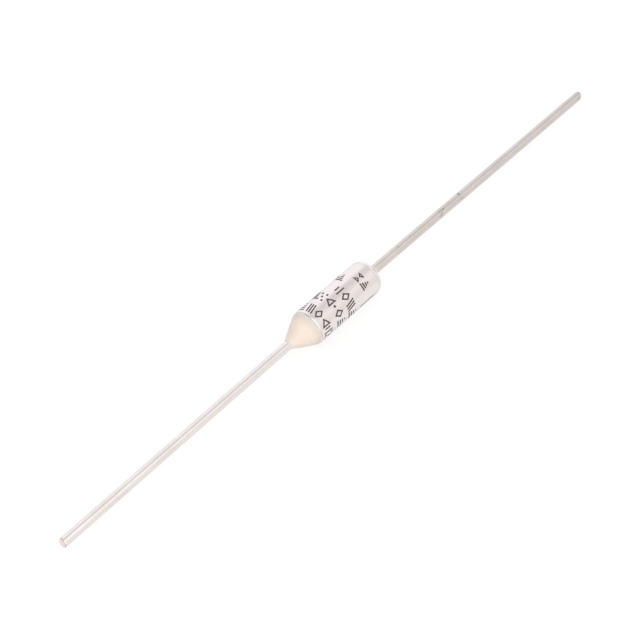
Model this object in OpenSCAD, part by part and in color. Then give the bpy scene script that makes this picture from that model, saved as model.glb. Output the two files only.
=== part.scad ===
// Axial pellet thermal cut-off: a 4 mm plated barrel between two 1 mm wire leads.
// The axis lies along X, with the origin on the axis at mid-length of the barrel.
// -X is the resin-sealed end with the isolated lead. +X is the closed end,
// whose lead is live to the barrel. All lengths are in millimetres.

/* [Barrel] */
// Outer diameter of the drawn barrel
barrel_d = 4.0; // [3.9:0.05:4.3]
// Length of the barrel, from its rolled lip to its closed end
barrel_l = 9.9; // [9.8:0.05:10.6]
// Thickness of the barrel wall and of the rolled lip
wall_t = 0.28; // [0.2:0.02:0.3]
// Thickness of the closed end
end_t = 0.45; // [0.35:0.05:0.5]
// Outside radius of the shoulder at the closed end
shoulder_r = 1.15; // [0.9:0.05:1.2]
// Outside radius of the edge of the rolled lip
lip_r = 0.20; // [0.12:0.02:0.26]
// Radius of the opening that the rolled lip leaves
lip_open_r = 1.42; // [1.3:0.02:1.5]

/* [Leads] */
// Diameter of both wire leads
lead_d = 1.0; // [0.9:0.02:1.04]
// Free length of the lead at the closed end
case_lead_l = 36.8; // [20:0.2:40]
// Free length of the lead at the sealed end, outside the resin
isolated_lead_l = 31.2; // [20:0.2:40]
// Edge radius at the free end of the lead at the closed end
tip_round = 0.18; // [0.05:0.01:0.3]
// Edge chamfer at the free end of the lead at the sealed end
tip_chamfer = 0.05; // [0.02:0.01:0.1]
// Radius of the tenon that is staked through the closed end
tenon_r = 0.33; // [0.26:0.01:0.34]
// Thickness of the staked head inside the closed end
stake_t = 0.24; // [0.16:0.02:0.3]
// Radius of the keyed neck in the wire under the resin
neck_r = 0.34; // [0.3:0.01:0.34]

/* [Seal] */
// Length of the resin cone beyond the rolled lip
cone_l = 2.85; // [2.4:0.05:3.2]
// Radius of the resin at its nose, where the lead comes out
cone_nose_r = 0.57; // [0.56:0.01:0.7]
// Largest radius of the resin, just before the lip
cone_base_r = 1.96; // [1.85:0.01:1.98]
// Length of the resin's rounded foot
cone_foot_l = 0.19; // [0.1:0.01:0.3]
// How far the cone bulges past a straight line
cone_bulge = 0.045; // [0:0.005:0.12]

/* [Bushing] */
// Thickness of the ceramic flange
flange_t = 1.0; // [0.8:0.05:1.2]
// Length of the ceramic nose inside the trip spring
nose_l = 0.90; // [0.7:0.05:1.0]
// Outer radius of the ceramic nose
nose_r = 0.82; // [0.74:0.02:0.86]
// Radial play of the lead in the bushing
bush_play = 0.02; // [0.01:0.005:0.04]

/* [Contact] */
// How far the isolated lead's contact end stands out of the bushing
contact_l = 0.50; // [0.4:0.05:0.6]
// Thickness of the star contact's flat hub
star_t = 0.15; // [0.1:0.01:0.18]
// Radius of the star contact's flat hub
star_hub_r = 1.25; // [1.2:0.01:1.28]
// Length of the star contact's curved fingers along the axis
star_finger_l = 0.55; // [0.4:0.05:0.6]
// Number of fingers on the star contact
star_fingers = 8; // [6:1:10]
// Radial play between the fingers and the barrel's bore
star_play = 0.03; // [0.02:0.01:0.06]
// Thickness of both discs
disc_t = 0.15; // [0.1:0.01:0.2]
// Radius of the disc behind the star contact
contact_disc_r = 1.12; // [1.05:0.01:1.15]

/* [Pellet] */
// Length of the pellet
pellet_l = 2.60; // [2.3:0.05:2.8]
// Radial play of the pellet and its disc in the bore
pellet_play = 0.04; // [0.03:0.01:0.08]

/* [Springs] */
// Wire diameter of the compression spring
main_wire = 0.32; // [0.26:0.02:0.34]
// Turns of the compression spring
main_turns = 5.5; // [4.5:0.5:6]
// Mean radius of the compression spring's end coils
main_end_r = 0.92; // [0.86:0.01:0.94]
// Mean radius of the compression spring's middle coils
main_mid_r = 1.30; // [1.1:0.02:1.36]
// Wire diameter of the trip spring
trip_wire = 0.20; // [0.16:0.01:0.2]
// Turns of the trip spring
trip_turns = 4.0; // [3:0.5:4]
// Mean radius of the trip spring
trip_r = 1.08; // [1.04:0.01:1.1]

/* [Hidden] */

// Radii
R = barrel_d / 2;
bore_r = R - wall_t;
lead_r = lead_d / 2;
inner_round = shoulder_r - wall_t;
stake_r = lead_r;
bush_bore_r = lead_r + bush_play;
flange_r = bore_r - 0.02;
pellet_r = bore_r - pellet_play;
star_tip_r = bore_r - star_play;
finger_t = 0.11;
slot_w = 0.24;
slot_root_r = 0.98;

// Stations along the axis, from the sealed end to the closed end
x_lip = -barrel_l / 2;
x_end = barrel_l / 2;
x_nose = x_lip - cone_l;
x_tip_iso = x_nose - isolated_lead_l;
x_tip_case = x_end + case_lead_l;
x_bush = x_lip + wall_t;
x_flange = x_bush + flange_t;
x_bush_end = x_flange + nose_l;
x_star = x_bush_end + contact_l;
x_cdisc = x_star + star_t;
x_main_0 = x_cdisc + disc_t;
x_floor = x_end - end_t;
x_stake = x_floor - stake_t;
x_pellet_end = x_floor - pellet_play;
x_pellet = x_pellet_end - pellet_l;
x_main_1 = x_pellet - disc_t;

FINE = 96;
SIDES = 8;
RING = 20;
EPS = 0.004;

// Turns a flat profile, drawn as (radius, place along the axis), about X
module turned() { rotate([0, 90, 0]) rotate_extrude($fn = FINE) children(); }

// Quarter of a round, for an edge that faces outwards and along +X
module quarter(e) { intersection() { circle(e, $fn = FINE); square(2 * e); } }

// Solid profile of a round bar from a to b with a rounded edge at its +X end
module round_ended(r, a, b, e) {
    translate([0, a]) square([r, b - e - a]);
    translate([0, a]) square([r - e, b - a]);
    translate([r - e, b - e]) quarter(e);
}

// ---- Springs: a round wire swept along a coil that closes flat at both ends ----
// Share of the length climbed after the fraction t of the turns
function climb(t) = let (f = 0.16) t < f ? 0.10 * t / f
    : t > 1 - f ? 1 - 0.10 * (1 - t) / f
    : 0.10 + 0.80 * (t - f) / (1 - 2 * f);
function coil_at(t, n, r0, r1, xa, xb) =
    let (a = 360 * n * t, r = r0 + (r1 - r0) * sin(180 * t))
    [xa + (xb - xa) * climb(t), r * cos(a), r * sin(a)];
function unit(v) = v / norm(v);
function coil_ring(t, n, r0, r1, xa, xb, w) =
    let (h = 0.002,
         p = coil_at(t, n, r0, r1, xa, xb),
         q = unit(coil_at(t + h, n, r0, r1, xa, xb) - coil_at(t - h, n, r0, r1, xa, xb)),
         o = [0, cos(360 * n * t), sin(360 * n * t)],
         e = unit(o - q * (o * q)),
         b = cross(q, e))
    [for (k = [0 : SIDES - 1]) p + w * (cos(360 * k / SIDES) * e + sin(360 * k / SIDES) * b)];
module coil(n, r0, r1, xa, xb, w) {
    m = round(n * RING);
    pts = [for (i = [0 : m]) each coil_ring(i / m, n, r0, r1, xa, xb, w)];
    faces = concat(
        [[for (k = [0 : SIDES - 1]) k]],
        [for (i = [0 : m - 1]) for (k = [0 : SIDES - 1])
            let (k2 = (k + 1) % SIDES)
            [i * SIDES + k, (i + 1) * SIDES + k, (i + 1) * SIDES + k2, i * SIDES + k2]],
        [[for (k = [SIDES - 1 : -1 : 0]) m * SIDES + k]]);
    polyhedron(points = pts, faces = faces, convexity = 6);
}

// ---- Barrel: a drawn cup with its open end rolled in over the bushing ----
module barrel_shell() {
    color([0.84, 0.82, 0.80]) turned() difference() {
        union() {
            round_ended(R, x_lip + lip_r, x_end, shoulder_r);
            translate([0, x_lip]) square([R - lip_r, 2 * lip_r]);
            translate([R - lip_r, x_lip + lip_r]) circle(lip_r, $fn = FINE);
        }
        round_ended(bore_r, x_bush, x_floor, inner_round);
        translate([0, x_lip - 1]) square([lip_open_r, wall_t + 1.2]);
        translate([0, x_floor - 0.2]) square([tenon_r + EPS, end_t + 1]);
    }
}

// ---- Lead at the closed end: wire, shoulder, tenon and staked head ----
module case_lead() {
    color([0.72, 0.70, 0.66]) turned() union() {
        round_ended(lead_r, x_end, x_tip_case, tip_round);
        translate([0, x_stake + 0.1]) square([tenon_r, x_end - x_stake]);
        polygon([[0, x_stake], [stake_r - 0.10, x_stake], [stake_r, x_floor - 0.06],
                 [stake_r - 0.03, x_floor], [0, x_floor]]);
    }
}

// Outline of the wire where the resin grips it, from its nose to the bushing
neck_line = [[lead_r, x_nose], [neck_r, x_nose + 0.30 * cone_l], [neck_r, x_nose + 0.55 * cone_l],
             [lead_r, x_nose + 0.85 * cone_l], [lead_r, x_bush]];

// ---- Lead at the sealed end: cut tip, keyed neck under the resin and contact end ----
module isolated_lead() {
    color([0.86, 0.84, 0.82]) turned() polygon(concat(
        [[0, x_tip_iso], [lead_r - tip_chamfer, x_tip_iso], [lead_r, x_tip_iso + tip_chamfer]],
        neck_line,
        [[lead_r, x_star - 0.12], [lead_r - 0.12, x_star], [0, x_star]]));
}

// ---- Resin: a cone over the lip that also fills the mouth round the lead ----
function cone_at(u) = [cone_nose_r + (cone_base_r - cone_nose_r) * u + 4 * cone_bulge * u * (1 - u),
                       x_nose + (cone_l - cone_foot_l) * u];
module epoxy_seal() {
    n = 12;
    color([0.94, 0.88, 0.76]) turned() polygon(concat(
        [for (i = [0 : n]) cone_at(i / n)],
        [[cone_base_r - 0.02, x_lip - cone_foot_l * 0.45], [cone_base_r - 0.09, x_lip],
         [lip_open_r, x_lip], [lip_open_r, x_bush]],
        [for (i = [len(neck_line) - 1 : -1 : 0]) neck_line[i]]));
}

// ---- Bushing: flange under the lip, nose through the trip spring ----
module ceramic_bushing() {
    c = 0.08;
    color([0.95, 0.94, 0.90]) turned() polygon([
        [bush_bore_r, x_bush], [flange_r - c, x_bush], [flange_r, x_bush + c],
        [flange_r, x_flange - c], [flange_r - c, x_flange], [nose_r, x_flange],
        [nose_r, x_bush_end - c], [nose_r - c, x_bush_end], [bush_bore_r, x_bush_end]]);
}

// ---- Star contact: flat hub with curved fingers that run on the bore ----
module star_contact() {
    n = 6;
    color([0.88, 0.86, 0.82]) difference() {
        turned() polygon(concat(
            [[0, x_star]],
            [for (i = [0 : n]) let (a = 90 * i / n)
                [star_hub_r + (star_tip_r - star_hub_r) * sin(a),
                 x_star + star_finger_l * (1 - cos(a))]],
            [for (i = [n : -1 : 0]) let (a = 90 * i / n)
                [star_hub_r + (star_tip_r - finger_t - star_hub_r) * sin(a),
                 x_cdisc + (star_finger_l - star_t) * (1 - cos(a))]],
            [[0, x_cdisc]]));
        for (i = [0 : star_fingers - 1]) rotate([360 * (i + 0.5) / star_fingers, 0, 0])
            translate([x_star - 0.5, -slot_w / 2, slot_root_r])
                cube([star_finger_l + 1, slot_w, 2]);
    }
}

// A thin disc with broken edges
module disc(r, a) {
    c = 0.03;
    turned() polygon([[0, a], [r - c, a], [r, a + c], [r, a + disc_t - c], [r - c, a + disc_t], [0, a + disc_t]]);
}

module contact_disc() { color([0.80, 0.66, 0.42]) disc(contact_disc_r, x_cdisc); }

module pellet_disc() { color([0.76, 0.76, 0.77]) disc(pellet_r, x_main_1); }

// ---- Pellet: pressed to the closed end and seated on the staked head ----
module thermal_pellet() {
    e = inner_round - pellet_play;
    color([0.60, 0.72, 0.62]) turned() difference() {
        round_ended(pellet_r, x_pellet, x_pellet_end, e);
        translate([0, x_stake]) square([stake_r + EPS, 2 * stake_t]);
    }
}

module compression_spring() {
    color([0.70, 0.71, 0.73])
        coil(main_turns, main_end_r, main_mid_r,
             x_main_0 + main_wire / 2 + EPS, x_main_1 - main_wire / 2 - EPS, main_wire / 2);
}

module trip_spring() {
    color([0.74, 0.75, 0.77])
        coil(trip_turns, trip_r, trip_r,
             x_flange + trip_wire / 2 + EPS, x_star - trip_wire / 2 - EPS, trip_wire / 2);
}

barrel_shell();
case_lead();
isolated_lead();
epoxy_seal();
ceramic_bushing();
star_contact();
contact_disc();
compression_spring();
pellet_disc();
thermal_pellet();
trip_spring();
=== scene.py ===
import math

import bmesh
import bpy
import numpy as np
from mathutils import Matrix, Vector, noise


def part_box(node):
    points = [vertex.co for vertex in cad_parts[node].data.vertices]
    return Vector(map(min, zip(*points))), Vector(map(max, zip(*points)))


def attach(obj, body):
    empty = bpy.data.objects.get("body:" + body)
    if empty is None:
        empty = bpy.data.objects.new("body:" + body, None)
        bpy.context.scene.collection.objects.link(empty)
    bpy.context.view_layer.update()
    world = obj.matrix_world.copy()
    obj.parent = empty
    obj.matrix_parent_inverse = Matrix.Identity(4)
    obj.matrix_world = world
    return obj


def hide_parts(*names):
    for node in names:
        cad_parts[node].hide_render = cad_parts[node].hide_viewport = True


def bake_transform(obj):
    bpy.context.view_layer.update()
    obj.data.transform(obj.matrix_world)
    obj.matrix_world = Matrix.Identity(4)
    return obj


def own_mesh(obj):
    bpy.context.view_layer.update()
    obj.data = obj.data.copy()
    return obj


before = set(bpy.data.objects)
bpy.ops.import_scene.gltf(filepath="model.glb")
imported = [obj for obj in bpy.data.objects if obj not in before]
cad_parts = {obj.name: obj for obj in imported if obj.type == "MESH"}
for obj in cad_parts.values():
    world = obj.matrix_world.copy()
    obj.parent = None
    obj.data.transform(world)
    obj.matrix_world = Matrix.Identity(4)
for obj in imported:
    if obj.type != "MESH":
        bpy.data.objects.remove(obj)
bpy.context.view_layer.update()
MM = 0.001

# ------------------------------------------------------------------ sizes, in mm
R, BORE_R, LEAD_R = 2.0, 1.72, 0.5
X_LIP, X_END, WALL, LIP_R, LIP_OPEN = -4.95, 4.95, 0.28, 0.20, 1.42
SHOULDER, X_FLOOR, TENON_R, STAKE_T = 1.15, 4.50, 0.33, 0.24
X_TIP_ISO, X_NOSE, X_TIP_CASE = -39.0, -7.80, 41.75
CONE_L, NOSE_R, BASE_R, FOOT_L, BULGE, NECK_R = 2.85, 0.57, 1.96, 0.19, 0.045, 0.34
X_BUSH, X_FLANGE, X_BUSH_END, X_STAR = -4.67, -3.67, -2.77, -2.27
X_MAIN_0, X_MAIN_1, X_PELLET, X_PELLET_END = -1.97, 1.71, 1.86, 4.46
X_STAKE = X_FLOOR - STAKE_T
for node, lo_x, hi_x in (("barrel_shell", X_LIP, X_END), ("case_lead", X_STAKE, X_TIP_CASE),
                         ("isolated_lead", X_TIP_ISO, X_STAR), ("thermal_pellet", X_PELLET, X_PELLET_END),
                         ("ceramic_bushing", X_BUSH, X_BUSH_END)):
    lo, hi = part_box(node)
    assert abs(lo.x / MM - lo_x) < 0.02 and abs(hi.x / MM - hi_x) < 0.02, node

# Directions round the axis: an angle of 0 is +Y and 90 is +Z. The photograph looks at 118.
FACE, UPPER = 118.0, 28.0


def polar(a):
    """Unit vector (y, z) at that angle round the axis, in degrees."""
    return math.cos(math.radians(a)), math.sin(math.radians(a))


# ------------------------------------------------------------------ mesh helpers
def mesh_object(name, verts, faces, sharp=38.0):
    """A smooth-shaded object from points in mm."""
    me = bpy.data.meshes.new(name)
    me.from_pydata([tuple(float(c) * MM for c in v) for v in verts], [], faces)
    bm = bmesh.new()
    bm.from_mesh(me)
    bmesh.ops.recalc_face_normals(bm, faces=bm.faces)
    bm.to_mesh(me)
    bm.free()
    me.polygons.foreach_set("use_smooth", [True] * len(me.polygons))
    me.set_sharp_from_angle(angle=math.radians(sharp))
    me.update()
    ob = bpy.data.objects.new(name, me)
    bpy.context.scene.collection.objects.link(ob)
    return ob


def loft(name, rings, loop=False, sharp=38.0):
    """Skin over rings of points. Open ends are closed with a fan."""
    m, n, _ = rings.shape
    verts = rings.reshape(-1, 3).tolist()
    faces = []
    for i in range(m if loop else m - 1):
        j = (i + 1) % m
        for k in range(n):
            k2 = (k + 1) % n
            faces.append((i * n + k, i * n + k2, j * n + k2, j * n + k))
    if not loop:
        for i, flip in ((0, True), (m - 1, False)):
            c = len(verts)
            verts.append(rings[i].mean(axis=0).tolist())
            for k in range(n):
                k2 = (k + 1) % n
                faces.append((c, i * n + k2, i * n + k) if flip else (c, i * n + k, i * n + k2))
    return mesh_object(name, verts, faces, sharp)


def turned(profile, n):
    """Rings of a profile of (x, r) points about the X axis."""
    a = np.linspace(0, 2 * math.pi, n, endpoint=False)
    p = np.array(profile, float)
    out = np.zeros((len(p), n, 3))
    out[:, :, 0] = p[:, 0:1]
    out[:, :, 1] = p[:, 1:2] * np.cos(a)
    out[:, :, 2] = p[:, 1:2] * np.sin(a)
    return out


def arc(cx, cr, e, a0, a1, n):
    """Points on a round of radius e about (cx, cr), where 0 is along the axis and 90 outwards."""
    return [(cx + e * math.cos(a), cr + e * math.sin(a))
            for a in np.radians(np.linspace(a0, a1, n))]


def run(x0, x1, step, r):
    """Points along the axis at one radius, without the ends."""
    n = max(2, int(round(abs(x1 - x0) / step)))
    return [(x0 + (x1 - x0) * i / n, r) for i in range(1, n)]


def wave(x, y, z, scale, seed=0.0):
    return noise.noise(Vector((x * scale + seed, y * scale - seed * 0.7, z * scale + seed * 1.3)))


def push(rings, fn):
    """Moves each point outwards from the axis by fn(x, angle in degrees, radius)."""
    m, n, _ = rings.shape
    for i in range(m):
        for k in range(n):
            x, y, z = rings[i, k]
            r = math.hypot(y, z)
            if r < 1e-6:
                continue
            d = fn(x, math.degrees(math.atan2(z, y)) % 360.0, r)
            if d:
                rings[i, k, 1] += d * y / r
                rings[i, k, 2] += d * z / r
    return rings


def smooth(t):
    t = min(1.0, max(0.0, t))
    return t * t * (3 - 2 * t)


def turn_gap(a, b):
    return (a - b + 180.0) % 360.0 - 180.0


# ------------------------------------------------------------------ material helpers
class Mat:
    def __init__(self, name):
        self.m = bpy.data.materials.new(name)
        self.m.use_nodes = True
        self.t = self.m.node_tree
        self.t.nodes.clear()
        self.out = self.t.nodes.new("ShaderNodeOutputMaterial")
        self.bsdf = self.t.nodes.new("ShaderNodeBsdfPrincipled")
        self.t.links.new(self.bsdf.outputs[0], self.out.inputs[0])
        tc = self.t.nodes.new("ShaderNodeTexCoord")
        self.mm = self.vec("SCALE", tc.outputs["Object"], scale=1000.0)

    def link(self, a, b):
        self.t.links.new(a, b)

    def put(self, socket, value):
        if hasattr(value, "is_output"):
            self.link(value, socket)
        else:
            socket.default_value = value

    def vec(self, op, a, b=None, scale=None):
        n = self.t.nodes.new("ShaderNodeVectorMath")
        n.operation = op
        self.put(n.inputs[0], a)
        if b is not None:
            self.put(n.inputs[1], b)
        if scale is not None:
            n.inputs["Scale"].default_value = scale
        return n.outputs[0]

    def math(self, op, a, b=0.0, c=None):
        n = self.t.nodes.new("ShaderNodeMath")
        n.operation = op
        self.put(n.inputs[0], a)
        self.put(n.inputs[1], b)
        if c is not None:
            self.put(n.inputs[2], c)
        return n.outputs[0]

    def noise(self, per_mm, detail=3.0, rough=0.5, stretch=(1, 1, 1)):
        n = self.t.nodes.new("ShaderNodeTexNoise")
        self.link(self.vec("MULTIPLY", self.mm, stretch), n.inputs["Vector"])
        n.inputs["Scale"].default_value = per_mm
        n.inputs["Detail"].default_value = detail
        n.inputs["Roughness"].default_value = rough
        return n.outputs[0]

    def cells(self, per_mm, stretch=(1, 1, 1)):
        n = self.t.nodes.new("ShaderNodeTexVoronoi")
        self.link(self.vec("MULTIPLY", self.mm, stretch), n.inputs["Vector"])
        n.inputs["Scale"].default_value = per_mm
        return n.outputs["Distance"]

    def span(self, value, a0, a1, b0, b1):
        n = self.t.nodes.new("ShaderNodeMapRange")
        self.put(n.inputs["Value"], value)
        for k, v in (("From Min", a0), ("From Max", a1), ("To Min", b0), ("To Max", b1)):
            n.inputs[k].default_value = v
        return n.outputs[0]

    def ramp(self, value, stops):
        n = self.t.nodes.new("ShaderNodeValToRGB")
        e = n.color_ramp.elements
        while len(e) < len(stops):
            e.new(0.5)
        for el, (p, c) in zip(e, stops):
            el.position = p
            el.color = (*c, 1.0)
        self.put(n.inputs[0], value)
        return n.outputs[0]

    def mix(self, fac, a, b, kind="MIX"):
        n = self.t.nodes.new("ShaderNodeMix")
        n.data_type = "RGBA"
        n.blend_type = kind
        self.put(n.inputs[0], fac)
        for s, v in ((n.inputs[6], a), (n.inputs[7], b)):
            self.put(s, v if hasattr(v, "is_output") else (*v, 1.0))
        return n.outputs[2]

    def axis(self, k):
        n = self.t.nodes.new("ShaderNodeSeparateXYZ")
        self.link(self.mm, n.inputs[0])
        return n.outputs[k]

    def mark(self, name):
        n = self.t.nodes.new("ShaderNodeAttribute")
        n.attribute_type = "GEOMETRY"
        n.attribute_name = name
        return n.outputs["Fac"]

    def bump(self, height, depth_mm, strength=1.0, under=None):
        n = self.t.nodes.new("ShaderNodeBump")
        n.inputs["Strength"].default_value = strength
        n.inputs["Distance"].default_value = depth_mm * MM
        self.link(height, n.inputs["Height"])
        if under is not None:
            self.link(under, n.inputs["Normal"])
        return n.outputs[0]

    def set(self, **values):
        for k, v in values.items():
            self.put(self.bsdf.inputs[k.replace("_", " ")], v)
        return self.m


def plated(name, light, dark, rough, lines=1.0, cloud=0.8, specks=0.0, bare=None, tint=None, mottle=0.0, far=None):
    """Drawn or plated metal: cloudy colour, fine lines along the axis, patches and small specks."""
    m = Mat(name)
    clouds = m.noise(cloud, 4.0, 0.6, (0.45, 1, 1))
    draw = m.noise(9.0, 4.0, 0.65, (0.03, 1, 1))
    grain = m.noise(26.0, 2.0, 0.5)
    c = m.ramp(clouds, ((0.30, dark), (0.68, light)))
    if tint is not None:
        c = m.mix(m.span(m.noise(cloud * 0.6, 3.0, 0.55, (0.5, 1, 1)), 0.45, 0.75, 0.0, 0.8), c, tint)
    c = m.mix(m.span(draw, 0.52, 0.80, 0.0, 0.40 * lines), c, tuple(0.72 * v for v in dark))
    if mottle:
        patch = m.noise(1.9, 4.0, 0.6, (0.6, 1, 1))
        c = m.mix(mottle, c, m.ramp(patch, ((0.32, (0.975, 1.0, 0.915)), (0.68, (1.0, 0.972, 1.0)))), "MULTIPLY")
        dull = m.noise(4.5, 3.0, 0.6, (0.7, 1, 1))
        c = m.mix(m.span(dull, 0.42, 0.70, 0.0, 0.22 * mottle), c, tuple(0.72 * v for v in dark))
    if far is not None:
        c = m.mix(m.span(m.axis(0), far[0], far[1], 0.0, 1.0), c, far[2], "MULTIPLY")
    if specks:
        dots = m.math("MULTIPLY", m.span(m.cells(2.6), 0.02, 0.085, 1.0, 0.0),
                      m.span(m.noise(0.9, 2.0), 0.50, 0.62, 0.0, 1.0))
        c = m.mix(m.math("MULTIPLY", dots, specks), c, tuple(0.25 * v for v in dark))
    if bare is not None:
        c = m.mix(m.mark("bare"), c, bare)
        # the second mark is dark: it darkens the tool marks, and paints shade at the cut tips
        c = m.mix(m.mark("dark_marks_and_shade"), c, (0.085, 0.070, 0.058))
    r = m.math("ADD", m.span(clouds, 0.3, 0.7, rough * 0.85, rough * 1.15),
               m.span(draw, 0.35, 0.75, -0.03 * lines, 0.06 * lines))
    normal = m.bump(grain, 0.0012, 0.5, m.bump(draw, 0.003 * lines, 0.7))
    return m.set(Base_Color=c, Metallic=1.0, Roughness=r, Normal=normal)


# ------------------------------------------------------------------ camera
cam_data = bpy.data.cameras.new("camera")
cam = bpy.data.objects.new("camera", cam_data)
bpy.context.scene.collection.objects.link(cam)
bpy.context.scene.camera = cam
cam_data.lens, cam_data.sensor_width = 89.1, 36.0
cam_data.clip_start, cam_data.clip_end = 0.001, 20.0
right = Vector((0.6711, -0.7414, 0.0)).normalized()
back = Vector((-0.4602, -0.4165, 0.7839)).normalized()
right = (right - back * right.dot(back)).normalized()
up = back.cross(right)
place = Vector((-3.25, -0.256, -0.136)) * MM + back * 0.1633 + (up * 0.0701 - right * 0.0607) * MM
cam.matrix_world = Matrix((
    (right.x, up.x, back.x, place.x),
    (right.y, up.y, back.y, place.y),
    (right.z, up.z, back.z, place.z),
    (0, 0, 0, 1)))

# ------------------------------------------------------------------ light and floor
scene = bpy.context.scene
scene.view_settings.view_transform = "Standard"
scene.view_settings.look = "None"

world = bpy.data.worlds.new("studio")
scene.world = world
world.use_nodes = True
wt = world.node_tree
wt.nodes.clear()


def wnode(kind, op=None, *values):
    n = wt.nodes.new(kind)
    if op:
        n.operation = op
    for s, v in zip(n.inputs, values):
        if hasattr(v, "is_output"):
            wt.links.new(v, s)
        elif v is not None:
            s.default_value = v
    return n


# The studio is a ring of soft panels round the object's axis (one behind and overhead, a narrow
# unlit gap, and dimmer ones in front), with a large soft box beside the camera and a card below.
aim = wnode("ShaderNodeTexCoord").outputs["Generated"]
cy, cz = polar(FACE)
uy, uz = polar(UPPER)
toward = wnode("ShaderNodeVectorMath", "DOT_PRODUCT", aim, (0.0, cy, cz)).outputs["Value"]
aside = wnode("ShaderNodeVectorMath", "DOT_PRODUCT", aim, (0.0, uy, uz)).outputs["Value"]
endwise = wnode("ShaderNodeVectorMath", "DOT_PRODUCT", aim, (1.0, 0.0, 0.0)).outputs["Value"]
boxward = wnode("ShaderNodeVectorMath", "DOT_PRODUCT", aim, tuple((back - Vector((0.0, uy, uz)) * 0.22).normalized())).outputs["Value"]
swing = wnode("ShaderNodeMath", "ARCTAN2", aside, toward).outputs[0]
share = wnode("ShaderNodeMath", "MULTIPLY_ADD", swing, 0.5 / math.pi, 0.5).outputs[0]


def panel_ring(*stops):
    """Light round the axis: degrees from the photograph's view, then the panel's light."""
    ring = wnode("ShaderNodeValToRGB")
    els = ring.color_ramp.elements
    while len(els) < len(stops):
        els.new(0.5)
    for el, (deg, v) in zip(els, stops):
        el.position = deg / 360.0 + 0.5
        el.color = (*v, 1.0)
    wt.links.new(share, ring.inputs[0])
    return ring.outputs[0]


def faded(value, lo, hi, below, above):
    """The light so far, turning to another one as value goes from lo to hi."""
    k = wnode("ShaderNodeMapRange")
    k.interpolation_type = "SMOOTHSTEP"
    wt.links.new(value, k.inputs["Value"])
    k.inputs["From Min"].default_value = lo
    k.inputs["From Max"].default_value = hi
    n = wnode("ShaderNodeMix")
    n.data_type = "RGBA"
    wt.links.new(k.outputs[0], n.inputs[0])
    wt.links.new(below, n.inputs[6])
    if hasattr(above, "is_output"):
        wt.links.new(above, n.inputs[7])
    else:
        n.inputs[7].default_value = (*above, 1.0)
    return n.outputs[2]


near_ring = panel_ring(
    (-180, (0.70, 0.69, 0.68)), (-165, (0.72, 0.71, 0.70)), (-140, (0.82, 0.81, 0.805)), (-125, (0.94, 0.925, 0.92)),
    (-70, (1.00, 0.98, 0.97)), (-58, (0.89, 0.87, 0.855)), (-14, (0.885, 0.86, 0.845)),
    (-1, (1.00, 0.975, 0.96)), (11, (1.05, 1.025, 1.01)), (19, (0.92, 0.895, 0.885)), (27, (0.775, 0.740, 0.742)),
    (40, (0.725, 0.685, 0.688)), (48, (0.705, 0.665, 0.668)), (51, (0.97, 0.955, 0.98)), (80, (1.02, 1.00, 1.025)),
    (125, (1.03, 1.01, 1.03)), (143, (0.92, 0.905, 0.915)), (180, (0.70, 0.69, 0.68)))
tip_ring = panel_ring(
    (-180, (0.70, 0.69, 0.68)), (-165, (0.72, 0.71, 0.70)), (-140, (0.82, 0.81, 0.805)), (-125, (0.94, 0.925, 0.92)),
    (-70, (0.98, 0.96, 0.95)), (-58, (0.865, 0.845, 0.83)), (-40, (0.82, 0.795, 0.78)), (-14, (0.775, 0.75, 0.735)),
    (-4, (0.89, 0.865, 0.855)), (3, (1.055, 1.03, 1.02)), (13, (1.04, 1.015, 1.005)), (20, (0.92, 0.895, 0.885)),
    (28, (0.775, 0.740, 0.742)), (40, (0.725, 0.685, 0.688)), (47, (0.705, 0.665, 0.668)), (50, (0.97, 0.955, 0.98)),
    (80, (1.02, 1.00, 1.025)), (125, (1.03, 1.01, 1.03)), (143, (0.92, 0.905, 0.915)), (180, (0.70, 0.69, 0.68)))
mid_ring = panel_ring(
    (-180, (0.84, 0.825, 0.82)), (-165, (0.80, 0.785, 0.78)), (-140, (0.79, 0.78, 0.78)), (-125, (0.91, 0.895, 0.90)),
    (-113, (0.955, 0.94, 0.945)), (-68, (0.98, 0.96, 0.955)), (-59, (0.85, 0.83, 0.805)), (-40, (0.815, 0.79, 0.755)),
    (-24, (0.86, 0.83, 0.79)), (-12, (0.92, 0.89, 0.855)), (-3, (0.84, 0.815, 0.785)), (5, (0.745, 0.73, 0.71)),
    (12, (0.725, 0.715, 0.705)), (19, (0.725, 0.72, 0.72)), (28, (0.77, 0.765, 0.77)), (38, (0.80, 0.795, 0.80)),
    (47, (0.775, 0.765, 0.77)), (53, (0.71, 0.70, 0.705)), (60, (0.655, 0.645, 0.65)), (62.5, (1.03, 1.00, 1.025)),
    (80, (1.11, 1.07, 1.10)), (126, (1.08, 1.05, 1.07)), (142, (0.95, 0.935, 0.935)), (160, (0.90, 0.885, 0.88)),
    (180, (0.84, 0.825, 0.82)))
far_ring = panel_ring(
    (-180, (0.72, 0.705, 0.695)), (-165, (0.75, 0.735, 0.725)), (-140, (0.84, 0.825, 0.82)), (-120, (0.94, 0.925, 0.915)),
    (-74, (0.93, 0.915, 0.905)), (-52, (0.88, 0.86, 0.84)), (-24, (0.92, 0.89, 0.865)),
    (-10, (1.04, 1.01, 0.98)), (8, (1.06, 1.03, 1.005)), (17, (0.93, 0.91, 0.90)), (25, (0.80, 0.78, 0.775)),
    (38, (0.715, 0.692, 0.690)), (49, (0.705, 0.682, 0.680)), (52, (0.97, 0.945, 0.965)), (80, (1.01, 0.98, 1.005)),
    (125, (1.00, 0.97, 0.99)), (143, (0.85, 0.83, 0.84)), (180, (0.72, 0.705, 0.695)))
lit = faded(endwise, 0.31, 0.38, tip_ring, near_ring)
lit = faded(endwise, 0.43, 0.45, lit, mid_ring)
lit = faded(endwise, 0.50, 0.515, lit, far_ring)
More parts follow.
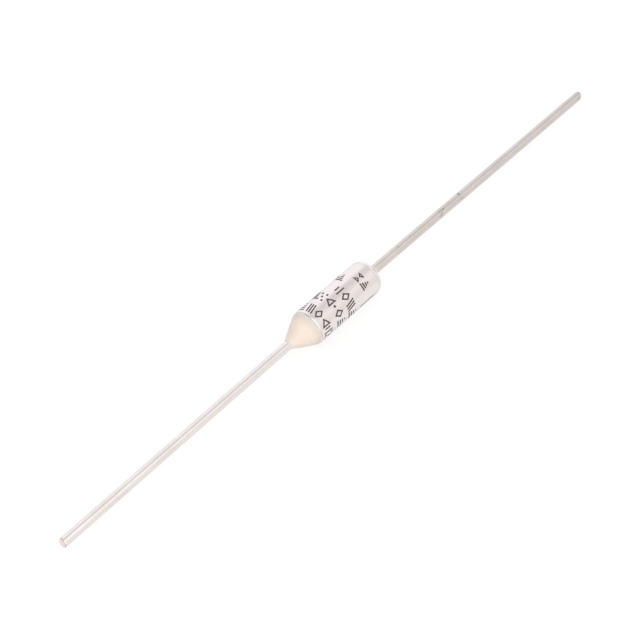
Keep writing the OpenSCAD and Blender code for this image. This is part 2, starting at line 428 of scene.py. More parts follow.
end_ring = panel_ring(
    (-180, (0.96, 0.94, 0.93)), (-150, (0.86, 0.84, 0.83)), (-110, (0.88, 0.86, 0.845)), (-60, (0.87, 0.82, 0.815)),
    (-24, (0.878, 0.841, 0.832)), (8, (0.862, 0.828, 0.823)), (17, (0.84, 0.815, 0.815)), (30, (0.80, 0.79, 0.795)),
    (50, (0.715, 0.705, 0.715)), (75, (0.765, 0.755, 0.765)), (95, (0.95, 0.94, 0.93)), (120, (1.04, 1.02, 1.01)),
    (180, (0.96, 0.94, 0.93)))
lit = faded(endwise, 0.645, 0.70, lit, end_ring)
lit = faded(endwise, 0.86, 0.95, lit, (0.94, 0.915, 0.905))
hither = wnode("ShaderNodeMath", "MULTIPLY", endwise, -1.0).outputs[0]
lit = faded(hither, -0.12, 0.25, lit, (0.62, 0.605, 0.595))
lit = faded(boxward, 0.50, 0.92, lit, (1.33, 1.295, 1.27))
card = wnode("ShaderNodeVectorMath", "DOT_PRODUCT", aim, (-0.46, 0.4165, -0.784)).outputs["Value"]
lit = faded(card, 0.78, 0.93, lit, (0.96, 0.93, 0.94))
panels = wnode("ShaderNodeBackground")
wt.links.new(lit, panels.inputs[0])
plain = wnode("ShaderNodeBackground", None, (1.0, 1.0, 1.0, 1.0), 1.0)
seen = wnode("ShaderNodeLightPath").outputs["Is Camera Ray"]
choose = wnode("ShaderNodeMixShader")
wt.links.new(seen, choose.inputs[0])
wt.links.new(panels.outputs[0], choose.inputs[1])
wt.links.new(plain.outputs[0], choose.inputs[2])
wt.links.new(choose.outputs[0], wnode("ShaderNodeOutputWorld").inputs[0])

floor_me = bpy.data.meshes.new("floor")
S = 2.5
floor_me.from_pydata([(-S, -S, -R * MM), (S, -S, -R * MM), (S, S, -R * MM), (-S, S, -R * MM)], [], [(0, 1, 2, 3)])
floor = bpy.data.objects.new("floor", floor_me)
scene.collection.objects.link(floor)
fm = Mat("floor_white")
fm.set(Base_Color=(0.28, 0.28, 0.28, 1.0), Roughness=0.9, Emission_Color=(1, 1, 1, 1), Emission_Strength=0.752)
floor_me.materials.append(fm.m)
floor.visible_diffuse = floor.visible_glossy = False

# ------------------------------------------------------------------ barrel
profile = [(X_BUSH, LIP_OPEN), (X_LIP + 0.06, LIP_OPEN)]
profile += arc(X_LIP + 0.06, LIP_OPEN + 0.06, 0.06, 270, 180, 5)[1:]
profile += [(X_LIP, 1.60)]
profile += arc(X_LIP + LIP_R, R - LIP_R, LIP_R, 180, 90, 13)
profile += run(X_LIP + LIP_R, X_END - SHOULDER, 0.14, R)
profile += arc(X_END - SHOULDER, R - SHOULDER, SHOULDER, 90, 0, 33)
profile += [(X_END, 0.80), (X_END + 0.010, 0.72), (X_END + 0.034, 0.660), (X_END + 0.075, 0.615), (X_END + 0.13, 0.585),
            (X_END + 0.22, 0.560), (X_END + 0.34, 0.543), (X_END + 0.48, 0.536), (X_END + 0.545, 0.531), (X_END + 0.575, 0.518),
            (X_END + 0.58, 0.497), (X_END, 0.497)]
profile += [(X_END, TENON_R + 0.004), (X_FLOOR, TENON_R + 0.004), (X_FLOOR, 0.6)]
profile += arc(X_FLOOR - 0.87, BORE_R - 0.87, 0.87, 0, 90, 15)
profile += run(X_FLOOR - 0.87, X_BUSH, 0.5, BORE_R) + [(X_BUSH, BORE_R)]
rings = turned(profile, 192)


def barrel_wave(x, a, r):
    if r < 1.0:
        return 0.0
    y, z = polar(a)
    out = 0.0045 * wave(x * 0.55, 2 * y, 2 * z, 0.75, 3.1) + 0.0020 * wave(x * 0.3, 2 * y, 2 * z, 2.1, 8.7)
    # the rolled lip is pressed in over many small steps, so it is a little uneven
    lip = smooth((X_LIP + 0.55 - x) / 0.5)
    return out + 0.012 * lip * wave(0.0, 2 * y, 2 * z, 1.6, 5.5)


barrel = loft("barrel", push(rings, barrel_wave), loop=True, sharp=42)
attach(barrel, "housing")
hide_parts("barrel_shell")
barrel.data.materials.append(plated("plated_barrel", (0.902, 0.858, 0.850), (0.852, 0.812, 0.806), 0.20,
                                    lines=0.55, cloud=0.55, tint=(0.878, 0.846, 0.806)))

# ------------------------------------------------------------------ ink on the barrel: simple shapes in rows
def stroke(u0, v0, u1, v1, w):
    d = math.hypot(u1 - u0, v1 - v0)
    pu, pv = -(v1 - v0) / d * w / 2, (u1 - u0) / d * w / 2
    return [[(u0 - pu, v0 - pv), (u1 - pu, v1 - pv), (u1 + pu, v1 + pv), (u0 + pu, v0 + pv)]]


def slab(cu, cv, hu, hv):
    return [[(cu - hu, cv - hv), (cu + hu, cv - hv), (cu + hu, cv + hv), (cu - hu, cv + hv)]]


def outline(pts, w):
    """A closed line of width w inside a convex polygon that runs anticlockwise."""
    n, sides = len(pts), []
    for (u0, v0), (u1, v1) in zip(pts, pts[1:] + pts[:1]):
        d = math.hypot(u1 - u0, v1 - v0)
        nu, nv = -(v1 - v0) / d, (u1 - u0) / d
        sides.append((nu, nv, nu * u0 + nv * v0 + w))
    inner = []
    for j in range(n):
        (a1, b1, c1), (a2, b2, c2) = sides[j - 1], sides[j]
        det = a1 * b2 - a2 * b1
        inner.append(((c1 * b2 - c2 * b1) / det, (a1 * c2 - a2 * c1) / det))
    return [[pts[j], pts[(j + 1) % n], inner[(j + 1) % n], inner[j]] for j in range(n)]


def shape(kind, hu, hv, w):
    if kind == "hatch":
        return sum((stroke(o - 0.15, -hv, o + 0.15, hv, w) for o in (-0.30, 0.0, 0.30)), [])
    if kind == "diamond":
        return outline([(0, -hv), (hu, 0), (0, hv), (-hu, 0)], w)
    if kind == "steps":
        return sum((slab(0, v * hv, hu * s, w / 2) for v, s in ((-0.85, 1.0), (-0.30, 0.74), (0.25, 0.48), (0.80, 0.22))), [])
    if kind == "wedge":
        return outline([(-hu, -hv), (hu, 0.0), (-hu, hv)], w)
    if kind == "checks":
        return sum((slab(u * hu, v * hv, hu * 0.25, hv * 0.20) for u, v in
                    ((-0.70, -0.75), (0.70, -0.75), (0, 0), (-0.70, 0.75), (0.70, 0.75))), [])
    if kind == "glass":
        return outline([(-hu, -hv), (hu, -hv), (0, -0.08 * hv)], w) + outline([(hu, hv), (-hu, hv), (0, 0.08 * hv)], w)
    if kind == "pair":
        return slab(-hu * 0.5, 0, w * 0.5, hv) + slab(hu * 0.5, 0, w * 0.5, hv * 0.6)
    if kind == "rule":
        return [[(-w * 0.35, -hv), (w * 0.35, -hv), (w * 0.60, hv), (-w * 0.60, hv)]]
    if kind == "block":
        return slab(0, 0, hu * 0.28, hv * 0.20)
    raise ValueError(kind)


INK = []
for row_x, half, w, cells in (
        (-3.92, 0.60, 0.165, (("steps", 46), ("hatch", 77), ("diamond", 108), ("wedge", 139), ("pair", 166),
                              ("checks", 192), ("hatch", 222), ("diamond", 252))),
        (-1.97, 0.60, 0.165, (("hatch", 41), ("checks", 70), ("wedge", 99), ("block", 122), ("diamond", 147),
                              ("steps", 178), ("pair", 208), ("wedge", 238))),
        (-0.25, 0.60, 0.165, (("pair", 91), ("diamond", 121), ("hatch", 152), ("steps", 183), ("checks", 213))),
        (1.38, 0.50, 0.155, (("diamond", 33), ("steps", 60)))):
    INK += [(kind, row_x, a, 0.46, half, w) for kind, a in cells]
INK += [("glass", 2.42, 103, 0.44, 0.48, 0.13), ("steps", 2.42, 132, 0.46, 0.50, 0.18),
        ("rule", 2.06, 189, 0.06, 1.08, 0.11)]

bm_all = bmesh.new()
for seed, (kind, row_x, a0, hu, hv, w) in enumerate(INK):
    bm = bmesh.new()
    for loop_pts in shape(kind, hu, hv, w):
        bm.faces.new([bm.verts.new((u, v, 0.0)) for u, v in loop_pts])
    bmesh.ops.remove_doubles(bm, verts=bm.verts, dist=0.001)
    for ax in (0, 1):
        for k in range(-17, 18):
            co, no = [0.0, 0.0, 0.0], [0.0, 0.0, 0.0]
            co[ax], no[ax] = k * 0.07 + 0.011, 1.0
            bmesh.ops.bisect_plane(bm, geom=bm.verts[:] + bm.edges[:] + bm.faces[:], dist=1e-5,
                                   plane_co=co, plane_no=no)
    for v in bm.verts:
        u0, v0 = v.co.x, v.co.y
        v.co.x += 0.016 * wave(u0, v0, 0.0, 5.0, seed * 3.7)
        v.co.y += 0.016 * wave(u0, v0, 4.0, 5.0, seed * 5.3)
    top = bm.faces[:]
    out = bmesh.ops.extrude_face_region(bm, geom=top)
    for g in out["geom"]:
        if isinstance(g, bmesh.types.BMVert):
            g.co.z = 1.0
    bmesh.ops.recalc_face_normals(bm, faces=bm.faces)
    for v in bm.verts:
        u, s, up_side = v.co.x, v.co.y, v.co.z > 0.5
        a = math.radians(a0) - u / R
        x = row_x + s
        r = R + barrel_wave(x, math.degrees(a) % 360.0, R) + (0.007 if up_side else -0.006)
        v.co = (x * MM, r * math.cos(a) * MM, r * math.sin(a) * MM)
    me = bpy.data.meshes.new("t")
    bm.to_mesh(me)
    bm.free()
    bm_all.from_mesh(me)
    bpy.data.meshes.remove(me)
bmesh.ops.recalc_face_normals(bm_all, faces=bm_all.faces)
ink_me = bpy.data.meshes.new("barrel_ink")
bm_all.to_mesh(ink_me)
bm_all.free()
ink = bpy.data.objects.new("barrel_ink", ink_me)
scene.collection.objects.link(ink)
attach(ink, "housing")
m = Mat("marking_ink")
thin = m.noise(6.0, 3.0, 0.6)
c = m.ramp(thin, ((0.30, (0.062, 0.047, 0.039)), (0.60, (0.100, 0.079, 0.067)), (0.78, (0.27, 0.235, 0.21))))
ink_me.materials.append(m.set(Base_Color=c, Roughness=m.span(thin, 0.3, 0.7, 0.42, 0.62),
                              Normal=m.bump(m.noise(14.0, 2.0), 0.002, 0.5)))

# ------------------------------------------------------------------ wires
BEND = np.array([0.0, -0.883, -0.470])  # down across the photograph


def wire_lean(rings, x0, x1, by, start=0.0):
    """Leans the free wire by a little at its tip, x1, from a soft start at x0, where it may stand off the axis."""
    t = np.clip((rings[:, :, 0] - x0) / (x1 - x0), 0.0, None)
    foot = np.clip((rings[:, :, 0] - x0) / (0.4 * np.sign(x1 - x0)), 0.0, 1.0)
    return rings + (by * t * t / (t + 0.015) + start * foot * foot * (3 - 2 * foot))[:, :, None] * BEND


def draw_lines(x, a, r):
    """Faint unevenness of drawn wire."""
    y, z = polar(a)
    return 0.0016 * wave(x * 0.12, y, z, 2.2, 1.7) + 0.0009 * wave(x * 0.05, y, z, 6.0, 4.2)


def add_attribute(ob, name, values):
    at = ob.data.attributes.new(name, "FLOAT", "POINT")
    at.data.foreach_set("value", [float(v) for v in values])


# Lead at the closed end, with two sets of tool marks and a cut tip that is worn round
PITS = (  # x, angle, half length along x, half width round the wire, depth, darkness
    (16.15, 94, 0.075, 0.070, 0.034, 0.62),
    (16.80, 100, 0.100, 0.080, 0.055, 1.0),
    (16.58, 98, 0.080, 0.060, 0.012, 0.10),
    (16.05, 156, 0.080, 0.055, 0.022, 0.50),
    (16.15, 148, 0.080, 0.055, 0.026, 0.62),
    (16.25, 140, 0.080, 0.055, 0.028, 0.70),
    (16.37, 133, 0.075, 0.050, 0.024, 0.58),
    (16.48, 126, 0.070, 0.060, 0.030, 0.72),
    (19.70, 81, 0.080, 0.075, 0.046, 0.80),
    (19.64, 70, 0.080, 0.075, 0.044, 0.85),
    (19.56, 60, 0.070, 0.075, 0.038, 0.80),
    (19.58, 149, 0.100, 0.075, 0.020, 0.42),
    (9.30, 93, 0.080, 0.055, 0.022, 0.45),
    (11.35, 92, 0.080, 0.052, 0.024, 0.66),
    (34.30, 75, 0.050, 0.035, 0.018, 0.4),
    (40.93, 156, 0.130, 0.080, 0.036, 0.62),
)
RINGS = (  # x, half width, depth, first and last angle, darkness
    (19.63, 0.085, 0.018, 52, 205, 0.27),
    (16.14, 0.045, 0.014, 84, 124, 0.35),
)


def pit_at(x, a):
    """(push, grime, bare) of the tool marks at a point of the wire."""
    d = g = b = 0.0
    for px, pa, lx, lw, depth, dark in PITS:
        if abs(x - px) > 0.4:
            continue
        q = ((x - px) / lx) ** 2 + (math.radians(turn_gap(a, pa)) * LEAD_R / lw) ** 2
        if q < 9:
            d -= depth * math.exp(-q)
            d += 0.30 * depth * math.exp(-((math.sqrt(q) - 1.7) / 0.5) ** 2)
            g = max(g, dark * math.exp(-0.9 * q))
    for px, hw, depth, a0, a1, dark in RINGS:
        if abs(x - px) > 0.3:
            continue
        mid, half = (a0 + a1) / 2, (a1 - a0) / 2
        fade = smooth((half - abs(turn_gap(a, mid))) / 14.0)
        q = ((x - px - 0.02 * math.sin(math.radians(3 * a))) / hw) ** 2
        d -= depth * fade * math.exp(-q)
        d += 0.4 * depth * fade * math.exp(-((math.sqrt(q) - 1.6) / 0.5) ** 2)
        g = max(g, dark * fade * math.exp(-q))
    # the flat that the jaws pressed, darkened along one band
    if abs(x - 16.44) < 0.8:
        fx = smooth((0.36 - abs(x - 16.44)) / 0.12)
        fa = smooth((34 - abs(turn_gap(a, 112))) / 14.0)
        d -= 0.016 * fx * fa
        g = max(g, 0.13 * fx * smooth((20 - abs(turn_gap(a, 94))) / 12.0))
    return d, g, b


def case_xs():
    xs = list(np.arange(X_END + 0.05, 15.7, 0.30)) + list(np.arange(15.7, 17.2, 0.028))
    xs += list(np.arange(17.2, 19.3, 0.25)) + list(np.arange(19.3, 20.05, 0.022))
    xs += list(np.arange(20.05, X_TIP_CASE - 1.0, 0.30)) + list(np.arange(X_TIP_CASE - 1.0, X_TIP_CASE - 0.20, 0.06))
    for fine in (9.30, 11.35, 34.30):
        xs = [x for x in xs if abs(x - fine) > 0.16] + list(np.arange(fine - 0.15, fine + 0.16, 0.025))
    return sorted(float(x) for x in xs)


TIP_E = 0.20
profile = [(X_STAKE, 0.02), (X_STAKE, 0.30), (X_STAKE + 0.02, 0.38), (X_STAKE + 0.10, 0.46), (X_FLOOR - 0.06, 0.50),
           (X_FLOOR - 0.02, 0.49), (X_FLOOR, 0.47), (X_FLOOR, TENON_R), (X_END, TENON_R), (X_END, 0.47), (X_END + 0.02, LEAD_R)]
profile += [(x, LEAD_R) for x in case_xs()]
profile += arc(X_TIP_CASE - TIP_E, LEAD_R - TIP_E, TIP_E, 90, 0, 9)
profile += [(X_TIP_CASE, r) for r in (0.25, 0.16, 0.08, 0.02)]
rings = turned(profile, 96)
dark_marks_and_shade = np.zeros(rings.shape[:2])
bare = np.zeros(rings.shape[:2])
for i in range(rings.shape[0]):
    for k in range(rings.shape[1]):
        x, y, z = rings[i, k]
        r = math.hypot(y, z)
        a = math.degrees(math.atan2(z, y)) % 360.0
        if x > X_END + 0.1 and r > 0.45:
            d, g, b = pit_at(x, a)
            d += draw_lines(x, a, r)
            rings[i, k, 1] += d * y / r
            rings[i, k, 2] += d * z / r
            dark_marks_and_shade[i, k], bare[i, k] = g, b
        # the cut leans: the side away from the photograph's upper edge is shorter
        if x > X_TIP_CASE - 1.0:
            w = y * uy + z * uz
            f = smooth((x - (X_TIP_CASE - 1.0)) / 1.0)
            lean = 0.36 * max(0.0, 0.5 - w) ** 1.3 + 0.07 * smooth((w - 0.15) / 0.35)
            rings[i, k, 0] -= f * (lean - 0.02 * wave(y * 3, z * 3, 0.0, 1.0, 2.0))
            bare[i, k] = smooth((x - (X_TIP_CASE - 0.36)) / 0.22) * (0.8 + 0.3 * wave(y * 4, z * 4, x, 1.2, 6.0))
            # painted shade: the last 0.26 mm of the wire and the rim of the cut face are darkened
            dark_marks_and_shade[i, k] = max(dark_marks_and_shade[i, k], 0.10 * smooth((x - (X_TIP_CASE - 0.26)) / 0.2) + 0.10 * smooth((r - 0.22) / 0.1) * smooth((x - (X_TIP_CASE - 0.14)) / 0.1))
rings = wire_lean(rings, X_END + 0.10, X_TIP_CASE, 0.222, -0.080)
case_wire = loft("case_wire", rings, sharp=50)
# the tip's fan centre gets a little painted shade
add_attribute(case_wire, "dark_marks_and_shade", list(dark_marks_and_shade.ravel()) + [0.0, 0.1])
add_attribute(case_wire, "bare", list(bare.ravel()) + [0.0, 0.8])
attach(case_wire, "housing")
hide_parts("case_lead")
case_wire.data.materials.append(plated("tinned_wire_dull", (0.783, 0.739, 0.720), (0.690, 0.650, 0.627), 0.27,
                                       lines=1.0, cloud=0.9, specks=0.55, bare=(0.52, 0.46, 0.465), tint=(0.763, 0.717, 0.680), mottle=1.0,
                                       far=(13.0, 24.0, (0.988, 0.982, 1.012))))

# Lead at the sealed end: sheared tip with a small burr, keyed neck under the resin, contact end
xs = list(np.arange(X_TIP_ISO + 0.14, X_TIP_ISO + 1.2, 0.06)) + list(np.arange(X_TIP_ISO + 1.2, X_NOSE - 0.1, 0.30))
profile = [(X_TIP_ISO, r) for r in (0.02, 0.10, 0.20, 0.30, 0.38)]
profile += arc(X_TIP_ISO + 0.10, LEAD_R - 0.10, 0.10, 180, 90, 7)
profile += [(float(x), LEAD_R) for x in xs]
profile += [(X_NOSE, LEAD_R), (X_NOSE + 0.30 * CONE_L, NECK_R), (X_NOSE + 0.55 * CONE_L, NECK_R),
            (X_NOSE + 0.85 * CONE_L, LEAD_R), (X_BUSH, LEAD_R), (X_STAR - 0.12, LEAD_R), (X_STAR - 0.035, LEAD_R - 0.05),
            (X_STAR, LEAD_R - 0.12), (X_STAR, 0.2), (X_STAR, 0.02)]
rings = turned(profile, 96)
dark_marks_and_shade = np.zeros(rings.shape[:2])
bare = np.zeros(rings.shape[:2])
for i in range(rings.shape[0]):
    for k in range(rings.shape[1]):
        x, y, z = rings[i, k]
        r = math.hypot(y, z)
        a = math.degrees(math.atan2(z, y)) % 360.0
        if x < X_NOSE and r > 0.45:
            d = draw_lines(x, a, r)
            rings[i, k, 1] += d * y / r
            rings[i, k, 2] += d * z / r
        if x < X_TIP_ISO + 1.2:
            f = smooth((X_TIP_ISO + 1.2 - x) / 1.2)
            q = y * cy + z * cz
            w = y * uy + z * uz
            rings[i, k, 0] += f * (0.088 + 0.176 * q + 0.11 * smooth((w + 0.05) / 0.55) - 0.045 * smooth((-0.02 - w) / 0.44)
                                   + 0.012 * wave(y * 5, z * 5, 0.0, 1.0, 9.0))
            # the shear's last edge stands out as a thin burr on the upper side
            burr = smooth((26 - abs(turn_gap(a, UPPER + 22))) / 20.0) * smooth((r - 0.40) / 0.08)
            rings[i, k, 0] -= 0.025 * burr * smooth((X_TIP_ISO + 0.12 - x) / 0.1)
            rings[i, k, 1] += 0.035 * burr * y / max(r, 1e-6) * smooth((X_TIP_ISO + 0.16 - x) / 0.1)
            rings[i, k, 2] += 0.035 * burr * z / max(r, 1e-6) * smooth((X_TIP_ISO + 0.16 - x) / 0.1)
            # painted shade: the cut face is darkened a little, most towards its upper and lower edges, and so is the
            # upper side of the wire just behind the tip
            if x < X_TIP_ISO + 0.03:
                bare[i, k] = 0.62 - 0.20 * smooth((w - 0.10) / 0.35) + 0.20 * wave(y * 5, z * 5, 0.0, 1.0, 3.0)
                dark_marks_and_shade[i, k] = 0.015 + 0.020 * smooth((w - 0.15) / 0.30) + 0.02 * smooth((-0.10 - w) / 0.30)
            elif r > 0.45:
                dark_marks_and_shade[i, k] = 0.035 * smooth((X_TIP_ISO + 0.30 - x) / 0.2) * smooth((w - 0.02) / 0.15)
            # painted shade: a dark line along the rounded edge, on the side toward FACE, near the middle of its height
            if r > 0.40 and x < X_TIP_ISO + 0.101:
                turn = math.degrees(math.atan2(r - (LEAD_R - 0.10), X_TIP_ISO + 0.10 - x))
                dark_marks_and_shade[i, k] += 0.22 * smooth(1.0 - abs(turn - 50.0) / 48.0) * smooth((w + 0.20) / 0.15) * smooth((0.26 - w) / 0.22) * smooth(q / 0.15)
rings = wire_lean(rings, X_NOSE + 0.9, X_TIP_ISO, 0.207)
iso_wire = loft("isolated_wire", rings, sharp=50)
# the tip's fan centre gets a little painted shade
add_attribute(iso_wire, "dark_marks_and_shade", list(dark_marks_and_shade.ravel()) + [0.1, 0.0])
add_attribute(iso_wire, "bare", list(bare.ravel()) + [0.1, 0.0])
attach(iso_wire, "housing")
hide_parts("isolated_lead")
iso_wire.data.materials.append(plated("tinned_wire_bright", (0.916, 0.876, 0.881), (0.850, 0.802, 0.800), 0.20,
                                      lines=0.8, cloud=0.7, specks=0.15, bare=(0.93, 0.80, 0.765), tint=(0.896, 0.830, 0.806), mottle=0.7))

# ------------------------------------------------------------------ resin seal
profile = [(X_NOSE - 0.16, LEAD_R - 0.01), (X_NOSE - 0.15, LEAD_R + 0.006), (X_NOSE - 0.09, LEAD_R + 0.018),
           (X_NOSE - 0.04, LEAD_R + 0.042), (X_NOSE + 0.01, LEAD_R + 0.085)]
n = 44
for i in range(1, n + 1):
    u = 0.02 + 0.98 * i / n
    profile.append((X_NOSE + (CONE_L - FOOT_L) * u, NOSE_R + (BASE_R - NOSE_R) * u + 4 * BULGE * u * (1 - u)))
profile += [(X_LIP - FOOT_L * 0.85, BASE_R + 0.010), (X_LIP - FOOT_L * 0.60, BASE_R + 0.012), (X_LIP - FOOT_L * 0.35, BASE_R + 0.006),
            (X_LIP - 0.02, BASE_R + 0.006), (X_LIP + 0.03, BASE_R + 0.014), (X_LIP + 0.08, BASE_R + 0.026), (X_LIP + 0.12, BASE_R + 0.032),
            (X_LIP + 0.14, BASE_R + 0.010), (X_LIP + 0.10, BASE_R - 0.10),
            (X_LIP + 0.002, LIP_OPEN + 0.07), (X_LIP + 0.05, LIP_OPEN),
            (X_BUSH, LIP_OPEN), (X_BUSH, LEAD_R + 0.004),
            (X_NOSE + 0.85 * CONE_L, LEAD_R + 0.004), (X_NOSE + 0.55 * CONE_L, NECK_R + 0.004),
            (X_NOSE + 0.30 * CONE_L, NECK_R + 0.004), (X_NOSE, LEAD_R - 0.012)]
rings = turned(profile, 144)


def resin_wave(x, a, r):
    if x > X_LIP + 0.001 and r < BASE_R - 0.08 or r < LEAD_R + 0.004:
        return 0.0
    y, z = polar(a)
    t = smooth((x - (X_NOSE - 0.15)) / 0.5)
    foot = smooth((x - (X_LIP - 0.6)) / 0.5)
    out = t * (0.022 * wave(x * 0.6, r * y, r * z, 0.55, 2.6) + 0.010 * wave(x * 0.7, r * y, r * z, 1.5, 7.1)
               + 0.0025 * wave(x, r * y, r * z, 5.0, 4.4))
    # the film on the lip has an uneven edge, and stands back from the lip along one stretch
    film = smooth((x - (X_LIP - 0.04)) / 0.05)
    gap = turn_gap(FACE, a)
    bare_lip = smooth((gap - 10.0) / 8.0) * smooth((46.0 - gap) / 10.0)
    return out * (1 - 0.45 * foot) - 0.012 * t - film * (0.10 * bare_lip + 0.004 * (1 + wave(0.0, 2 * y, 2 * z, 1.4, 6.6)))


resin = loft("resin_seal", push(rings, resin_wave), loop=True, sharp=50)
add_attribute(resin, "speck", [0.75 * math.exp(-((x + 5.10) / 0.05) ** 2 - ((math.hypot(y, z) * math.radians(turn_gap(
    math.degrees(math.atan2(z, y)), 169))) / 0.055) ** 2) for x, y, z in rings.reshape(-1, 3)])
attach(resin, "housing")
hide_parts("epoxy_seal")
m = Mat("seal_resin")
soft = m.noise(0.9, 4.0, 0.55)
c = m.ramp(soft, ((0.28, (0.945, 0.815, 0.705)), (0.72, (0.985, 0.870, 0.770))))
thin = m.math("ADD", m.axis(0), m.span(m.noise(1.6, 3.0, 0.6), 0.3, 0.7, -0.09, 0.09))
c = m.mix(m.span(thin, X_LIP - 0.85, X_LIP - 0.32, 0.0, 1.0), c, (0.815, 0.758, 0.700))
c = m.mix(m.span(m.cells(3.2), 0.0, 0.10, 0.22, 0.0), c, (0.70, 0.58, 0.45))
c = m.mix(m.mark("speck"), c, (0.30, 0.12, 0.07))
m.set(Base_Color=c, Roughness=m.span(soft, 0.3, 0.7, 0.36, 0.50),
      Normal=m.bump(m.noise(16.0, 2.0), 0.004, 0.5, m.bump(m.noise(3.0, 3.0, 0.6), 0.02, 0.5)))
m.bsdf.inputs["IOR"].default_value = 1.52
m.bsdf.inputs["Subsurface Weight"].default_value = 0.18
m.bsdf.inputs["Subsurface Radius"].default_value = (1.0, 0.62, 0.38)
m.bsdf.inputs["Subsurface Scale"].default_value = 0.0004
resin.data.materials.append(m.m)

# ------------------------------------------------------------------ inside: bushing, pellet and springs
c = 0.08
profile = [(X_BUSH, LEAD_R + 0.02)] + [(X_BUSH, 1.0)] + arc(X_BUSH + c, 1.70 - c, c, 180, 90, 5)
profile += arc(X_FLANGE - c, 1.70 - c, c, 90, 0, 5) + [(X_FLANGE, 0.90)]
profile += arc(X_FLANGE + 0.05, 0.87, 0.05, 180, 270, 4) + arc(X_BUSH_END - c, 0.82 - c, c, 90, 0, 5)
profile += [(X_BUSH_END, LEAD_R + 0.02)]
bushing = loft("bushing", turned(profile, 96), loop=True, sharp=40)
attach(bushing, "housing")
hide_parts("ceramic_bushing")
m = Mat("white_ceramic")
g = m.noise(4.0, 4.0, 0.6)
bushing.data.materials.append(m.set(
    Base_Color=m.ramp(g, ((0.3, (0.80, 0.78, 0.73)), (0.7, (0.90, 0.89, 0.85)))),
    Roughness=m.span(g, 0.3, 0.7, 0.45, 0.62), Normal=m.bump(m.noise(20.0, 3.0), 0.006, 0.6)))

e = 0.83
profile = [(X_PELLET, 0.02), (X_PELLET, 0.8), (X_PELLET, 1.60), (X_PELLET + 0.03, 1.66), (X_PELLET + 0.10, 1.68)]
profile += run(X_PELLET + 0.10, X_PELLET_END - e, 0.2, 1.68) + arc(X_PELLET_END - e, 1.68 - e, e, 90, 0, 13)
profile += [(X_PELLET_END, 0.56), (X_PELLET_END - 0.02, 0.504), (X_STAKE, 0.504), (X_STAKE, 0.02)]
rings = turned(profile, 96)


def pellet_wave(x, a, r):
    y, z = polar(a)
    return -0.010 * (1 + wave(x, r * y, r * z, 2.4, 1.9)) if r > 0.9 else 0.0


pellet = loft("pellet", push(rings, pellet_wave), sharp=40)
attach(pellet, "housing")
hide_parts("thermal_pellet")
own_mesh(pellet)
m = Mat("pellet_compound")
g = m.noise(7.0, 5.0, 0.65)
pellet.data.materials.append(m.set(
    Base_Color=m.ramp(g, ((0.3, (0.42, 0.56, 0.46)), (0.7, (0.58, 0.70, 0.58)))),
    Roughness=m.span(g, 0.3, 0.7, 0.55, 0.75), Normal=m.bump(m.noise(22.0, 3.0), 0.008, 0.6)))


def climb(t, f=0.16):
    if t < f:
        return 0.10 * t / f
    if t > 1 - f:
        return 1 - 0.10 * (1 - t) / f
    return 0.10 + 0.80 * (t - f) / (1 - 2 * f)


def coil(name, turns, r0, r1, xa, xb, w, sides=18, per_turn=56):
    def at(t):
        a, r = 2 * math.pi * turns * t, r0 + (r1 - r0) * math.sin(math.pi * t)
        return Vector((xa + (xb - xa) * climb(t), r * math.cos(a), r * math.sin(a)))
    count = int(turns * per_turn)
    rings = np.zeros((count + 5, sides, 3))
    steps = [(0.0, 0.02), (0.0, 0.72), (0.0, 0.93)] + [(i / count, 1.0) for i in range(1, count)] + [(1.0, 0.93), (1.0, 0.72), (1.0, 0.02)]
    for i, (t, k) in enumerate(steps):
        p = at(t)
        q = (at(t + 0.002) - at(t - 0.002)).normalized()
        o = Vector((0, math.cos(2 * math.pi * turns * t), math.sin(2 * math.pi * turns * t)))
        e1 = (o - q * o.dot(q)).normalized()
        e2 = q.cross(e1)
        back_off = {0.93: 0.0, 0.72: 0.02, 0.02: 0.03}.get(k, 0.0) * (1 if t > 0.5 else -1)
        for j in range(sides):
            b = 2 * math.pi * j / sides
            rings[i, j] = p + q * back_off + (e1 * math.cos(b) + e2 * math.sin(b)) * w * k
    return loft(name, rings, sharp=50)


steel = plated("spring_steel", (0.66, 0.665, 0.68), (0.54, 0.545, 0.56), 0.26, lines=0.6, cloud=1.6, specks=0.2)
EPS = 0.004
trip = coil("trip_coil", 4.0, 1.08, 1.08, X_FLANGE + 0.10 + EPS, X_STAR - 0.10 - EPS, 0.10)
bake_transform(trip)
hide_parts("trip_spring")
main = coil("main_coil", 5.5, 0.92, 1.30, X_MAIN_0 + 0.16 + EPS, X_MAIN_1 - 0.16 - EPS, 0.16)
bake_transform(main)
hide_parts("compression_spring")
for ob in (trip, main):
    ob.data.materials.append(steel)

# Star contact: a flat hub with eight curved fingers, pressed from sheet
FINGERS, SLOT_W, ROOT_R, HUB_R, TIP_R, FINGER_T, FINGER_L, STAR_T = 8, 0.24, 0.98, 1.25, BORE_R - 0.03, 0.11, 0.55, 0.15
X_CDISC, DISC_T = X_STAR + STAR_T, 0.15
COLS = 13
stations = [((r, X_STAR), (r, X_CDISC)) for r in (0.02, 0.25, 0.50, 0.75, 0.90, ROOT_R, 1.08, 1.17)]
for a in np.radians(np.linspace(0, 90, 15)):
    stations.append(((HUB_R + (TIP_R - HUB_R) * math.sin(a), X_STAR + FINGER_L * (1 - math.cos(a))),
                     (HUB_R + (TIP_R - FINGER_T - HUB_R) * math.sin(a), X_CDISC + (FINGER_L - STAR_T) * (1 - math.cos(a)))))
verts, faces = [], []
WIDE = FINGERS * COLS


def star_at(j, side, k):
    return (j * 2 + side) * WIDE + k % WIDE


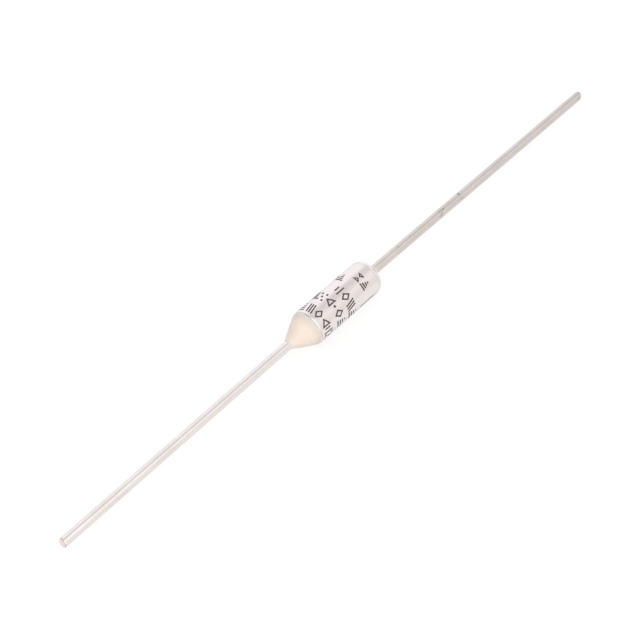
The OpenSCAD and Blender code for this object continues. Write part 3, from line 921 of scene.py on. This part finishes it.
for pair in stations:
    for r, x in pair:
        cut = math.asin(SLOT_W / 2 / max(r, ROOT_R))
        for f in range(FINGERS):
            for i in range(COLS):
                # slots lie half a finger off +Z, and angles grow from +Z towards -Y
                a = 2 * math.pi * (f - 0.5) / FINGERS + cut + (2 * math.pi / FINGERS - 2 * cut) * i / (COLS - 1)
                verts.append((x, -r * math.sin(a), r * math.cos(a)))
root = next(j for j, s in enumerate(stations) if s[0][0] == ROOT_R)
last = len(stations) - 1
for j in range(last):
    for k in range(WIDE):
        joined = k % COLS != COLS - 1
        if joined or j < root:
            faces.append((star_at(j, 0, k), star_at(j, 0, k + 1), star_at(j + 1, 0, k + 1), star_at(j + 1, 0, k)))
            faces.append((star_at(j, 1, k), star_at(j + 1, 1, k), star_at(j + 1, 1, k + 1), star_at(j, 1, k + 1)))
        if j >= root and k % COLS in (0, COLS - 1):
            faces.append((star_at(j, 0, k), star_at(j + 1, 0, k), star_at(j + 1, 1, k), star_at(j, 1, k)))
for k in range(WIDE):
    if k % COLS == COLS - 1:
        faces.append((star_at(root, 0, k), star_at(root, 0, k + 1), star_at(root, 1, k + 1), star_at(root, 1, k)))
    else:
        faces.append((star_at(last, 0, k), star_at(last, 0, k + 1), star_at(last, 1, k + 1), star_at(last, 1, k)))
for side, x in ((0, X_STAR), (1, X_CDISC)):
    verts.append((x, 0.0, 0.0))
    faces += [(len(verts) - 1, star_at(0, side, k), star_at(0, side, k + 1)) for k in range(WIDE)]
star = mesh_object("star", verts, faces, sharp=40)
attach(star, "contact")
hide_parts("star_contact")
star.data.materials.append(plated("silver_contact", (0.93, 0.91, 0.88), (0.84, 0.82, 0.78), 0.20, lines=0.3, cloud=1.2))


def plate(name, r, x, body, node, mat):
    """A thin stamped disc: rounded edge and a shallow dish of a few hundredths from the press."""
    e = 0.03
    profile = [(x + 0.012, 0.02), (x + 0.012, r * 0.30), (x + 0.006, r * 0.55), (x, r * 0.80)] + arc(x + e, r - e, e, 180, 90, 5)
    profile += arc(x + DISC_T - e, r - e, e, 90, 0, 5) + [(x + DISC_T, r * 0.80), (x + DISC_T, r * 0.4), (x + DISC_T, 0.02)]
    ob = loft(name, turned(profile, 96), sharp=45)
    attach(ob, body)
    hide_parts(node)
    ob.data.materials.append(mat)


plate("brass_plate", 1.12, X_CDISC, "contact", "contact_disc",
      plated("bare_brass", (0.80, 0.62, 0.34), (0.68, 0.50, 0.26), 0.28, lines=0.3, cloud=1.2))
plate("steel_plate", 1.68, X_MAIN_1, "pellet_plate", "pellet_disc",
      plated("disc_steel", (0.62, 0.62, 0.63), (0.52, 0.52, 0.53), 0.30, lines=0.3, cloud=1.2))
